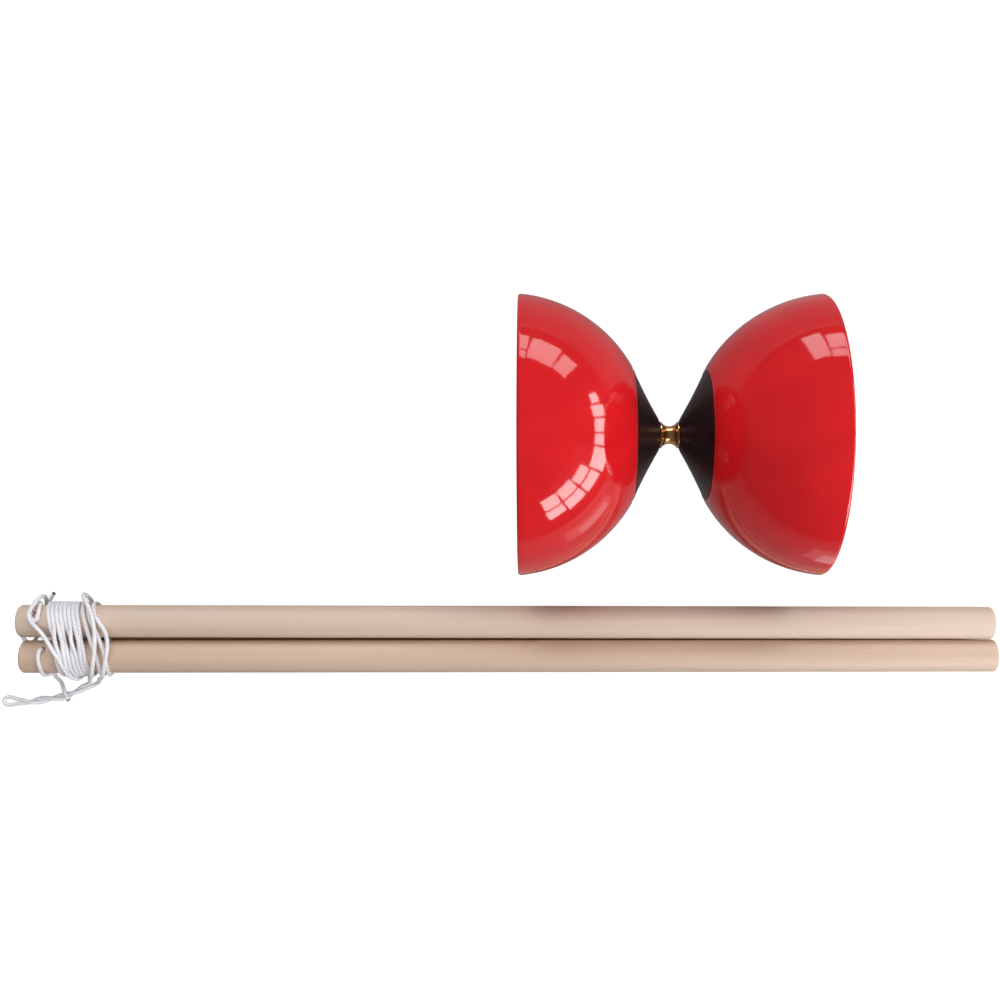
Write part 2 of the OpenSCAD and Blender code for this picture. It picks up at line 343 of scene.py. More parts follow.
def overhand_knot(centre, body, way_out):
    """An overhand knot lying flat: an open trefoil whose ends cross at the side away from its body."""
    reach = math.pi - KNOT_OPENING
    t = np.linspace(-reach, reach, KNOT_POINTS)[:, None]
    across = body * (np.cos(t) - 2 * np.cos(2 * t))
    ahead = way_out * (np.sin(t) + 2 * np.sin(2 * t))
    rise = -KNOT_RISE * np.sin(3 * t)
    return list(np.array(centre) + np.hstack([KNOT_R * across, KNOT_R * ahead, rise]))


def end_route(stick, turn, knot, tail):
    """The string from inside a cross hole, down through it, into its knot and out to its cut end."""
    hole = [stick.hole + stick.hole_up * h for h in (5.0, 2.5, 0, -2.5, -5.0, -6.2)]
    return smooth_curve(hole + turn + knot + tail, END_STEP, passes=3)


def back_end():
    turn = [(-175.8, -52.8, 2.75), (-176.4, -52.2, 2.35), (-176.65, -51.3, 2.25), (-176.45, -50.6, 2.28)]
    tail = [(-176.5, -51.2, 0.82), (-176.4, -50.4, 0.78), (-175.95, -49.6, LAID), (-175.15, -48.5, LAID),
            (-174.4, -47.1, LAID), (-174.1, -45.2, LAID), (-174.4, -43.3, LAID), (-174.3, -41.6, LAID),
            (-173.4, -39.8, LAID), (-172.2, -38.0, 0.8)]
    return end_route(BACK, turn, overhand_knot((-174.5, -50.9, 1.6), 1, 1), tail)


def front_end():
    turn = [(-171.7, -65.3, 2.7)]
    tail = [(-171.7, -65.9, 0.85), (-171.9, -67.4, 0.78), (-172.1, -68.7, LAID), (-171.2, -70.2, LAID),
            (-169.5, -71.6, 1.1), (-168.2, -73.3, 2.6), (-167.1, -75.1, 3.8), (-166.3, -76.8, 3.9),
            (-165.6, -78.4, 3.8)]
    return end_route(FRONT, turn, overhand_knot((-173.65, -65.9, 1.6), -1, -1), tail)


def lead_route(stick, hugging, joins):
    """The string from a cross hole's upper mouth, round the stick, to where the long string begins."""
    mouth = [stick.hole + stick.hole_up * h for h in (4.6, 5.6, 6.5)]
    return smooth_curve(mouth + [stick.hug(*row) for row in hugging] + joins, END_STEP, passes=2)


def make_long_string(route, part, material):
    """The winding and the tail, from the top of the back stick to the front stick's lead."""
    long = braided_tube("playing_string", route, material, part)
    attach(long, "string")
    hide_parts("string_winding", "string_tail", "string_tail_loop")


def make_slack_loop(route, part, material):
    """The loop on the floor behind the back stick, which slides with it; its rise takes up the slide."""
    loop = braided_tube("string_loop_back_stick", route, material, part)
    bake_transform(loop)


def make_leads(back_join, front_join, material):
    """The string from each cross hole, round the outside of its stick, to the slack loop or the winding."""
    back_hug = [(67, -175.2, 7.2), (77, -174.6, 7.1), (83, -173.6, 6.9), (79, -172.7, SNUG),
                (64, -172.4, SNUG), (46, -172.5, SNUG), (27, -172.8, SNUG), (8, -173.5, SNUG),
                (-12, -174.7, 6.8), (-26, -175.9, 7.2)]
    front_hug = [(67, -171.9, 7.2), (82, -172.2, 6.85), (102, -172.1, SNUG), (125, -171.8, SNUG),
                 (150, -171.8, SNUG), (178, -171.6, SNUG), (205, -170.2, SNUG), (230, -169.2, SNUG),
                 (248, -168.9, SNUG)]
    back = braided_tube("string_lead_back_stick", lead_route(BACK, back_hug, [back_join]), material)
    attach(back, BACK.body)
    front = braided_tube("string_lead_front_stick", lead_route(FRONT, front_hug, [front_join]), material)
    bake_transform(front)


def make_knotted_ends(material, tip_material):
    """The string through each cross hole, its stopper knot under the stick and its cut end."""
    ends = ((BACK, back_end(), "string_end_back"), (FRONT, front_end(), "string_end_front"))
    for stick, route, node in ends:
        end = braided_tube(f"string_knot_{stick.body}", route, material)
        seal_tip(end, tip_material, route[-1])
        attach(end, stick.body)
        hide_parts(node)


def make_string(material, tip_material):
    """The whole playing string, in the pieces that its sliding sticks need."""
    route = string_route()
    split = int(np.argmin(np.linalg.norm(route - LOOP_TOP, axis=1)))
    make_slack_loop(route, slice(0, split + 1), material)
    make_long_string(route, slice(split, len(route)), material)
    make_leads(route[0], route[-1], material)
    make_knotted_ends(material, tip_material)


# --- Mesh making ---

def make_object(name, verts, faces, material, uvs=None, sharp=35):
    """A mesh object from points in millimetres, with its normals outwards and its sharp edges kept."""
    mesh = bpy.data.meshes.new(name)
    mesh.from_pydata([tuple(v) for v in np.asarray(verts) * MM], [], faces)
    if uvs is not None:
        layer = mesh.uv_layers.new(name="UVMap")
        layer.data.foreach_set("uv", np.asarray(uvs, np.float32).ravel())
    work = bmesh.new()
    work.from_mesh(mesh)
    bmesh.ops.recalc_face_normals(work, faces=work.faces)
    work.to_mesh(mesh)
    work.free()
    mesh.polygons.foreach_set("use_smooth", [True] * len(mesh.polygons))
    mesh.set_sharp_from_angle(angle=math.radians(sharp))
    mesh.materials.append(material)
    obj = bpy.data.objects.new(name, mesh)
    bpy.context.scene.collection.objects.link(obj)
    return obj


def ring_faces(rows, sides, closed=False):
    """Quads between rows of sides points each, with a texture place for each corner."""
    faces = []
    uvs = []
    last = rows if closed else rows - 1
    for i in range(last):
        j = (i + 1) % rows
        for k in range(sides):
            m = (k + 1) % sides
            faces.append((i * sides + k, j * sides + k, j * sides + m, i * sides + m))
            uvs += [(i, k), (i + 1, k), (i + 1, k + 1), (i, k + 1)]
    return faces, np.array(uvs, float)


def tube_faces(rows, sides):
    """Quads between rings of points and a face at each end, with a texture place for each corner."""
    faces, uvs = ring_faces(rows, sides)
    faces += [tuple(range(sides)), tuple(range((rows - 1) * sides, rows * sides))]
    return faces, np.vstack([uvs, np.zeros((2 * sides, 2))])


def tube_frames(line):
    """Two directions across a line at each of its points, carried along it without twist."""
    along = np.gradient(line, axis=0)
    along /= np.linalg.norm(along, axis=1)[:, None]
    side = np.cross(along[0], [0.3, 0.2, 0.9])
    sides = []
    for t in along:
        side = side - t * (side @ t)
        side = side / np.linalg.norm(side)
        sides.append(side)
    sides = np.array(sides)
    return sides, np.cross(along, sides)


BRAID_LOBES = 6
BRAID_PITCH = 1.6
BRAID_DEPTH = 0.035
BRAID_SIDES = 18
MELTED_REACH = 0.95


def braided_tube(name, line, material, part=slice(None)):
    """A cord with the staggered lobes of a round braid, closed at its ends; part is a stretch of it."""
    side, up = tube_frames(line)
    step = np.linalg.norm(np.diff(line, axis=0), axis=1).mean()
    s = np.arange(len(line))[:, None] * step
    a = np.linspace(0, 2 * math.pi, BRAID_SIDES, endpoint=False)[None, :]
    lobes = np.cos(BRAID_LOBES * a) + np.cos(2 * math.pi * s / BRAID_PITCH)
    r = (STRING_D / 2 + BRAID_DEPTH * (lobes - 1) / 2)[:, :, None]
    ring = np.cos(a)[:, :, None] * side[:, None] + np.sin(a)[:, :, None] * up[:, None]
    points = (line[:, None] + r * ring)[part]
    verts = points.reshape(-1, 3)
    faces, uvs = tube_faces(len(points), BRAID_SIDES)
    uvs[:-2 * BRAID_SIDES, 0] += part.start or 0
    return make_object(name, verts, faces, material, uvs * [step / BRAID_PITCH, 1 / BRAID_SIDES], sharp=70)


def seal_tip(obj, material, tip):
    """Gives the very end of a cut cord, melted against fraying, a material of its own."""
    obj.data.materials.append(material)
    for face in obj.data.polygons:
        if np.linalg.norm(np.array(face.center) / MM - np.array(tip)) < MELTED_REACH:
            face.material_index = 1


FILLET_STEPS = 4
LONGEST_CUT = 0.49
NEARLY_STRAIGHT = 1.5


def fillet(points, closed):
    """Rounds the corners of an outline: each point is (r, t) or (r, t, radius)."""
    out = []
    count = len(points)
    for i, point in enumerate(points):
        p = np.array(point[:2], float)
        radius = point[2] if len(point) > 2 else 0
        if radius == 0 or (not closed and i in (0, count - 1)):
            out.append(p)
            continue
        a = np.array(points[i - 1][:2], float) - p
        b = np.array(points[(i + 1) % count][:2], float) - p
        reach_a = np.linalg.norm(a)
        reach_b = np.linalg.norm(b)
        a /= reach_a
        b /= reach_b
        half = math.acos(np.clip(a @ b, -1, 1)) / 2
        if half > NEARLY_STRAIGHT:
            out.append(p)
            continue
        cut = min(radius / math.tan(half), LONGEST_CUT * reach_a, LONGEST_CUT * reach_b)
        radius = cut * math.tan(half)
        centre = p + (a + b) / np.linalg.norm(a + b) * radius / math.sin(half)
        start = p + a * cut - centre
        sweep = math.pi - 2 * half
        end = p + b * cut - centre
        turn = math.copysign(1, start[0] * end[1] - start[1] * end[0])
        for k in range(FILLET_STEPS + 1):
            q = turn * sweep * k / FILLET_STEPS
            out.append(centre + [start[0] * math.cos(q) - start[1] * math.sin(q),
                                 start[0] * math.sin(q) + start[1] * math.cos(q)])
    return np.array(out)


def refine(outline, longest):
    """Splits the long stretches of a closed outline."""
    out = []
    for a, b in zip(outline, np.roll(outline, -1, axis=0)):
        count = max(1, math.ceil(np.linalg.norm(b - a) / longest))
        out += [a + (b - a) * k / count for k in range(count)]
    return np.array(out)


def axle_points(r, t, angle, side):
    """Points at radius r, distance t along the axle and an angle about it, on one side of its middle."""
    x = AXLE[0] + side * t + 0 * angle
    return np.stack([x, AXLE[1] + r * np.cos(angle), AXLE[2] + r * np.sin(angle)], -1)


OUTLINE_PER_UV = 10


def lathe(name, outline, material, side=1, segments=192, longest=3.0, sharp=35):
    """A turned piece on the axle line, from its closed outline of (r, t) points."""
    outline = refine(fillet(outline, True), longest)
    angle = np.linspace(0, 2 * math.pi, segments, endpoint=False)[None, :]
    verts = axle_points(outline[:, :1], outline[:, 1:], angle, side).reshape(-1, 3)
    faces, uvs = ring_faces(len(outline), segments, True)
    run = np.r_[0, np.cumsum(np.linalg.norm(np.diff(outline, axis=0), axis=1))]
    run = np.r_[run, run[-1] + np.linalg.norm(outline[0] - outline[-1])]
    uvs = np.stack([run[uvs[:, 0].astype(int)] / OUTLINE_PER_UV, uvs[:, 1] / segments], 1)
    return make_object(name, verts, faces, material, uvs, sharp)


def boolean(obj, other, operation):
    """Applies a boolean with another object, which is used up."""
    modifier = obj.modifiers.new("cut", "BOOLEAN")
    modifier.operation = operation
    modifier.solver = "EXACT"
    modifier.object = other
    bpy.context.view_layer.update()
    graph = bpy.context.evaluated_depsgraph_get()
    mesh = bpy.data.meshes.new_from_object(obj.evaluated_get(graph))
    obj.modifiers.remove(modifier)
    obj.data = mesh
    bpy.data.objects.remove(other)


def arc(centre, radius, start, end, count):
    """Points on a circle, between two angles in degrees."""
    a = np.radians(np.linspace(start, end, count))
    return [(centre[0] + radius * math.cos(q), centre[1] + radius * math.sin(q)) for q in a]


# --- Diabolo ---

SIDES = (("left", -1), ("right", 1))
BOWL_R = 48.75
BOWL_DROP = 1.0
CUP_WALL = 2.4
RIM_LAND = 0.2
SEAM_T = 12.4
FLANGE_END = 15.0
SPIGOT_R = 16.05
LIP_STEP = 0.4
FLANK_R = 176.0
NOSE_T = 3.1
ROD_R = 2.0
DISC_R = 21.0
DISC_END = 17.5
BOSS_END = 19.5
RIBS = 6
WASHER_R = 6.0
WASHER_END = 20.5
NUT_FLAT = 3.5


def bowl_arc():
    """Centre (r, t) of the arc of a cup's outside, and the angles of its rim and its seam."""
    bead = CUP_WALL / 2
    middle_r = BOWL_R - bead
    rim = -math.acos((CUP_R - bead + BOWL_DROP) / middle_r)
    centre_t = HALF_WIDTH + RIM_LAND - bead - middle_r * math.sin(rim)
    seam = -math.asin((centre_t - SEAM_T) / BOWL_R)
    return (-BOWL_DROP, centre_t), math.degrees(rim), math.degrees(seam)


def cup_outline():
    centre, rim, seam = bowl_arc()
    bead = CUP_WALL / 2
    bead_c = (CUP_R - bead, HALF_WIDTH + RIM_LAND - bead)
    inner_r = BOWL_R - CUP_WALL
    inner_seam = -math.degrees(math.asin((centre[1] - FLANGE_END) / inner_r))
    outside = arc(centre, BOWL_R, seam, rim, 40)
    edge = [(r, min(t, HALF_WIDTH)) for r, t in arc(bead_c, bead, rim + 12, rim + 168, 16)]
    inside = arc(centre, inner_r, rim, inner_seam + 2, 40)
    foot = [(inside[-1][0] - 2.2, FLANGE_END, 0.8)]
    first = outside[0]
    return [(SPIGOT_R, SEAM_T, 0.2), (first[0] - 0.3, SEAM_T, 0.2), (first[0] + 0.02, SEAM_T + 0.3, 0.2)] \
        + outside[1:] + edge + inside + foot + [(SPIGOT_R, FLANGE_END, 0.2)]


def make_cups(material):
    for word, side in SIDES:
        cup = lathe(f"cup_shell_{word}", cup_outline(), material, side, longest=2.0, sharp=50)
        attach(cup, "diabolo")
        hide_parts(f"cup_{word}")


def hub_outline():
    centre, _, seam = bowl_arc()
    a = np.array([4.6, NOSE_T])
    b = np.array([centre[0] + BOWL_R * math.cos(math.radians(seam)) - LIP_STEP, SEAM_T])
    half = np.linalg.norm(b - a) / 2
    along = (b - a) / (2 * half)
    hollow = (a + b) / 2 + np.array([along[1], -along[0]]) * math.sqrt(FLANK_R ** 2 - half ** 2)
    start, end = (math.degrees(math.atan2(*(p - hollow)[::-1])) for p in (a, b))
    flank = arc(hollow, FLANK_R, start, end, 14)
    return [(ROD_R + 0.05, NOSE_T), (a[0] - 0.3, NOSE_T), (a[0], NOSE_T + 0.2)] + flank[1:-1] \
        + [(b[0], b[1] - 0.15, 0.1), (b[0] - 0.3, b[1]), (SPIGOT_R - 0.05, SEAM_T),
           (SPIGOT_R - 0.05, FLANGE_END - 0.1, 0.3), (ROD_R + 0.05, FLANGE_END - 0.1)]


def make_hubs(material):
    for word, side in SIDES:
        hub = lathe(f"hub_cone_{word}", hub_outline(), material, side, longest=1.5)
        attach(hub, "diabolo")
        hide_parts(f"hub_{word}")


def make_spool(material):
    """Brass spool: plain lands at its ends, and a round waist between them."""
    waist_r = 3.0
    end_r = 4.5
    half = NOSE_T - 0.35
    radius = (half ** 2 + (end_r - waist_r) ** 2) / (2 * (end_r - waist_r))
    reach = math.degrees(math.asin(half / radius))
    hollow = arc((waist_r + radius, 0), radius, 180 + reach, 180 - reach, 30)
    outline = [(ROD_R + 0.05, -NOSE_T), (end_r, -NOSE_T, 0.08), (end_r, -half, 0.06)] + hollow[1:-1] \
        + [(end_r, half, 0.06), (end_r, NOSE_T, 0.08), (ROD_R + 0.05, NOSE_T)]
    spool = lathe("spool_turned", outline, material, segments=128)
    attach(spool, "diabolo")
    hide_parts("axle_spool")


def make_rod(material):
    """Rod with a cut thread on its free ends and pointed tips."""
    half = 32.0
    pitch = 0.7
    depth = 0.3
    plain = 24
    sides = 48
    thread = np.arange(plain, half, pitch / 10)[1:]
    t = np.r_[-half, -thread[::-1], np.linspace(-plain, plain, 25), thread, half]
    angle = np.linspace(0, 2 * math.pi, sides, endpoint=False)
    phase = (t[:, None] / pitch - angle[None, :] / (2 * math.pi)) % 1
    groove = depth * np.clip(np.abs(phase - 0.5) * 2.6 - 0.2, 0, 1)
    r = np.where(np.abs(t)[:, None] > plain + 0.5, ROD_R - groove, ROD_R - 0.1)
    r = np.minimum(r, ROD_R - 0.5 + (half - np.abs(t))[:, None])
    verts = axle_points(r, t[:, None], angle[None, :], 1).reshape(-1, 3)
    faces, uvs = tube_faces(len(t), sides)
    rod = make_object("rod_threaded", verts, faces, material, uvs * [0.05, 1 / sides], sharp=60)
    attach(rod, "diabolo")
    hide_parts("axle_rod")


def rib(number, side):
    """One rib of a clamp disc, a bar with a rounded back."""
    outline = fillet([(-0.7, -0.4), (-0.55, 1.4, 0.35), (0.55, 1.4, 0.35), (0.7, -0.4)], True)
    spans = [(6.2, 0), (18.6, 0), (19.6, -0.5), (20.0, -1.2)]
    turn = math.radians(360 / RIBS * number)
    verts = []
    for r, drop in spans:
        for across, height in outline:
            t = DISC_END + (height + drop if height > 0 else height)
            y = r * math.cos(turn) - across * math.sin(turn)
            z = r * math.sin(turn) + across * math.cos(turn)
            verts.append(AXLE + [side * t, y, z])
    count = len(outline)
    faces, _ = tube_faces(len(spans), count)
    return verts, faces


def make_discs(material):
    for word, side in SIDES:
        outline = [(ROD_R + 0.05, FLANGE_END), (DISC_R, FLANGE_END, 0.3), (DISC_R, DISC_END, 0.5),
                   (7.4, DISC_END, 0.5), (7.0, BOSS_END, 0.4), (ROD_R + 0.05, BOSS_END, 0.1)]
        disc = lathe(f"disc_ribbed_{word}", outline, material, side, segments=144, longest=2.5)
        verts = []
        faces = []
        for number in range(RIBS):
            more, quads = rib(number, side)
            faces += [tuple(i + len(verts) for i in face) for face in quads]
            verts += more
        ribs = make_object(f"ribs_{word}", verts, faces, material)
        boolean(disc, ribs, "UNION")
        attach(disc, "diabolo")
        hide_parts(f"clamp_disc_{word}")


def make_washers(material):
    for word, side in SIDES:
        outline = [(ROD_R + 0.15, BOSS_END, 0.2), (WASHER_R, BOSS_END, 0.35), (WASHER_R, WASHER_END, 0.15),
                   (ROD_R + 0.15, WASHER_END, 0.1)]
        washer = lathe(f"washer_pressed_{word}", outline, material, side, segments=96)
        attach(washer, "diabolo")
        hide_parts(f"washer_{word}")


def hexagon(angle):
    """Distance from the middle to the flats of a nut, at an angle about it."""
    half = math.pi / 6
    return NUT_FLAT / np.cos((angle + half) % (2 * half) - half)


def make_nuts(material):
    """Lock nuts: six flats with turned corners, and a round collar with a rolled lip."""
    sides = 144
    for word, side in SIDES:
        heights = [0, 0.15, 0.3, 0.45, 0.6, 0.9, 2.2, 2.6, 2.8, 3.0, 3.2, 3.4]
        cone = [3.45 + 1.0 * h for h in heights[:6]] + [9] + [4.4 - 0.9 * (h - 2.4) for h in heights[7:]]
        angle = np.linspace(0, 2 * math.pi, sides, endpoint=False)
        rows = [(WASHER_END + h, np.minimum(hexagon(angle), c)) for h, c in zip(heights, cone)]
        collar = [(3.4, 3.28), (3.42, 3.2), (4.4, 3.2), (4.7, 3.12), (4.9, 2.95), (5.0, 2.7), (4.95, 2.45),
                  (4.7, 2.4), (4.7, 2.02), (0.15, 2.02), (0, 2.15)]
        rows += [(WASHER_END + h, r + 0 * angle) for h, r in collar]
        verts = np.vstack([axle_points(r, t, angle, side) for t, r in rows])
        faces, uvs = ring_faces(len(rows), sides, True)
        nut = make_object(f"nut_turned_{word}", verts, faces, material, uvs * [0.1, 1 / sides], sharp=28)
        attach(nut, "diabolo")
        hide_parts(f"lock_nut_{word}")


def make_nylon_rings(material):
    inner_r = ROD_R + 0.02
    outer_r = 2.72
    start = 24.0
    for word, side in SIDES:
        outline = [(inner_r, start), (outer_r, start, 0.1), (outer_r, 25.15, 0.2), (inner_r, 25.25, 0.2)]
        ring = lathe(f"nylon_insert_{word}", outline, material, side, segments=96)
        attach(ring, "diabolo")
        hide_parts(f"nylon_ring_{word}")


# --- Sticks ---

UNEVENNESS = 0.006
MOUTH_WEAR = ((5.2, 0), (5.7, 0.05), (6.1, 0.18))


def stick_profile():
    """Distance along a stick and radius: sanded ends, and the faint unevenness of a turned dowel."""
    edge = fillet([(0, 0), (5.55, 0, 0.25), (STICK_R, 0.5, 0.5), (STICK_R, 4)], False)
    inner = [(r, 0) for r in (0.01, 1.2, 2.4, 3.6, 4.8)]
    start = [(t, r) for r, t in inner] + [(t, r) for r, t in edge[1:]]
    near_hole = [(float(t), STICK_R) for t in np.arange(5, 15, 1.0)]
    middle = [(float(t), STICK_R - UNEVENNESS - UNEVENNESS * math.sin(t / 9))
              for t in np.arange(20, STICK_LEN - 8, 8)]
    end = [(STICK_LEN - t, r) for t, r in reversed(start)]
    return start + near_hole + middle + end


def make_stick(stick, material):
    """Round wooden stick with a cross hole through its bound end."""
    sides = 96
    profile = np.array(stick_profile())
    up = np.array([0, 0, 1.0]) - stick.along * stick.along[2]
    up /= np.linalg.norm(up)
    across = np.cross(up, stick.along)
    angle = np.linspace(0, 2 * math.pi, sides, endpoint=False)[None, :, None]
    line = stick.end + profile[:, :1] * stick.along
    verts = line[:, None] + profile[:, 1][:, None, None] * (np.cos(angle) * across + np.sin(angle) * up)
    verts = verts.reshape(-1, 3)
    faces, uvs = tube_faces(len(profile), sides)
    wood = make_object(f"{stick.body}_turned", verts, faces, material, uvs * [0.02, 1 / sides], sharp=40)
    boolean(wood, hole_cutter(stick, material), "DIFFERENCE")
    wood.data.set_sharp_from_angle(angle=math.radians(40))
    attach(wood, stick.body)
    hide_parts(stick.node)


def hole_cutter(stick, material):
    """Cutter for a cross hole with slightly worn mouths."""
    sides = 40
    upper = [(h, HOLE_R + wear) for h, wear in MOUTH_WEAR] + [(8, 2.2)]
    rows = [(-h, r) for h, r in reversed(upper)] + upper
    across = np.cross(stick.hole_up, stick.along)
    verts = []
    for h, r in rows:
        for a in np.linspace(0, 2 * math.pi, sides, endpoint=False):
            offset = r * (math.cos(a) * stick.along + math.sin(a) * across)
            verts.append(stick.hole + h * stick.hole_up + offset)
    faces, _ = tube_faces(len(rows), sides)
    return make_object("cutter", verts, faces, material)


# --- Materials ---

class Paint:
    """A material with a Principled shader, and short ways to add and link nodes."""

    def __init__(self, name, color, roughness, **inputs):
        self.material = bpy.data.materials.new(name)
        self.material.use_nodes = True
        self.tree = self.material.node_tree
        self.shader = self.tree.nodes["Principled BSDF"]
        self.shader.inputs["Base Color"].default_value = (*color, 1)
        self.shader.inputs["Roughness"].default_value = roughness
        for key, value in inputs.items():
            self.shader.inputs[key.replace("_", " ")].default_value = value

    def node(self, kind, links=(), **settings):
        node = self.tree.nodes.new(kind)
        for key, value in settings.items():
            if hasattr(node, key):
                setattr(node, key, value)
            else:
                node.inputs[key.replace("_", " ")].default_value = value
        for source, target in links:
            self.tree.links.new(source, node.inputs[target])
        return node

    def link(self, source, target):
        self.tree.links.new(source, self.shader.inputs[target])

    def place(self, scale=(1, 1, 1), kind="Object"):
        """Coordinates in the object's own space or its map, stretched."""
        coords = self.node("ShaderNodeTexCoord")
        mapping = self.node("ShaderNodeMapping", [(coords.outputs[kind], "Vector")])
        mapping.inputs["Scale"].default_value = scale
        return mapping.outputs["Vector"]

    def noise(self, place, scale, detail=3, roughness=0.5, distortion=0.0):
        node = self.node("ShaderNodeTexNoise", [(place, "Vector")], Scale=scale, Detail=detail,
                         Roughness=roughness, Distortion=distortion)
        return node.outputs["Fac"]

    def turning_marks(self, scale, distortion):
        """Fine rings that follow the outline of a turned or moulded piece."""
        wave = self.node("ShaderNodeTexWave", [(self.place(kind="UV"), "Vector")], wave_profile="SIN",
                         bands_direction="X", Scale=scale, Distortion=distortion)
        return wave.outputs["Fac"]

    def ramp(self, source, stops):
        """Colours along a value; a stop is (place, colour or grey)."""
        node = self.node("ShaderNodeValToRGB", [(source, "Fac")])
        ramp = node.color_ramp
        while len(ramp.elements) < len(stops):
            ramp.elements.new(0.5)
        for element, (place, color) in zip(ramp.elements, stops):
            element.position = place
            element.color = (*color, 1) if hasattr(color, "__len__") else (color, color, color, 1)
        return node.outputs["Color"]

    def mix(self, factor, first, second, blend="MIX"):
        node = self.node("ShaderNodeMix", data_type="RGBA", blend_type=blend)
        for value, socket in ((factor, node.inputs[0]), (first, node.inputs[6]), (second, node.inputs[7])):
            if isinstance(value, bpy.types.NodeSocket):
                self.tree.links.new(value, socket)
            else:
                socket.default_value = (*value, 1) if hasattr(value, "__len__") else value
        return node.outputs[2]

    def bump(self, height, strength, distance, normal=None):
        node = self.node("ShaderNodeBump", [(height, "Height")], Strength=strength, Distance=distance)
        if normal is not None:
            self.tree.links.new(normal, node.inputs["Normal"])
        return node.outputs["Normal"]


def cup_plastic():
    """Glossy red moulded plastic, with faint flow marks, fine handling scratches and dust-dulled patches."""
    paint = Paint("cup_plastic", (0.70, 0.012, 0.016), 0.13, Specular_IOR_Level=0.5)
    place = paint.place()
    flow = paint.noise(place, 28, 4, 0.55, 0.6)
    color = paint.ramp(flow, [(0.3, (0.62, 0.009, 0.013)), (0.7, (0.74, 0.014, 0.018))])
    paint.link(color, "Base Color")
    smudge = paint.noise(place, 90, 5, 0.6)
    scratch = paint.noise(paint.place((40, 40, 900)), 3, 2, 0.5, 1.5)
    rough = paint.mix(0.3, paint.ramp(smudge, [(0.3, 0.05), (0.75, 0.10)]),
                      paint.ramp(scratch, [(0.6, 0.06), (0.72, 0.18)]))
    paint.link(rough, "Roughness")
    paint.link(paint.bump(paint.noise(place, 260, 2), 0.05, 0.0003), "Normal")
    return paint.material


def hub_plastic():
    """Satin brown-black plastic with the fine rings of its mould."""
    paint = Paint("hub_plastic", (0.016, 0.007, 0.008), 0.32, Specular_IOR_Level=0.3)
    place = paint.place()
    tone = paint.noise(place, 60, 4)
    paint.link(paint.ramp(tone, [(0.3, (0.014, 0.005, 0.006)), (0.7, (0.022, 0.009, 0.010))]), "Base Color")
    paint.link(paint.ramp(paint.noise(place, 220, 3), [(0.3, 0.27), (0.7, 0.38)]), "Roughness")
    rings = paint.turning_marks(9, 0.3)
    fine = paint.bump(paint.noise(place, 1500, 2), 0.12, 0.0002)
    paint.link(paint.bump(rings, 0.08, 0.0002, fine), "Normal")
    return paint.material


def disc_plastic():
    """Black glass-filled plastic with a fine eroded texture."""
    paint = Paint("disc_plastic", (0.018, 0.017, 0.019), 0.5)
    place = paint.place()
    tone = paint.noise(place, 400, 4)
    paint.link(paint.ramp(tone, [(0.3, (0.012, 0.012, 0.013)), (0.75, (0.034, 0.033, 0.036))]), "Base Color")
    paint.link(paint.ramp(paint.noise(place, 150, 3), [(0.3, 0.42), (0.7, 0.6)]), "Roughness")
    paint.link(paint.bump(paint.noise(place, 2600, 2), 0.3, 0.0002), "Normal")
    return paint.material


def turned_metal(name, dark, light, low, high, rings):
    """Metal with the fine rings of turning or plating, and duller patches."""
    paint = Paint(name, light, low, Metallic=1.0)
    place = paint.place()
    tone = paint.noise(place, 350, 4)
    paint.link(paint.ramp(tone, [(0.3, dark), (0.7, light)]), "Base Color")
    paint.link(paint.ramp(paint.noise(place, 900, 3), [(0.3, low), (0.75, high)]), "Roughness")
    paint.link(paint.bump(paint.turning_marks(rings, 1.0), 0.15, 0.0001), "Normal")
    return paint.material


def nylon():
    paint = Paint("nylon", (0.80, 0.83, 0.86), 0.4, Subsurface_Weight=0.3, Subsurface_Scale=0.002)
    place = paint.place()
    tone = paint.noise(place, 500, 3)
    paint.link(paint.ramp(tone, [(0.3, (0.74, 0.77, 0.80)), (0.7, (0.84, 0.87, 0.90))]), "Base Color")
    paint.link(paint.bump(paint.noise(place, 2500, 2), 0.15, 0.0002), "Normal")
    return paint.material


# Painted light and shade on one wood: the back stick is made a touch lighter, and the front stick darker and
# warmer, standing in for its shading and the red light thrown on it by the cups.
BACK_LIT_TINT = (1.01, 0.985, 0.97)
FRONT_SHADED_TINT = (0.96, 0.88, 0.815)


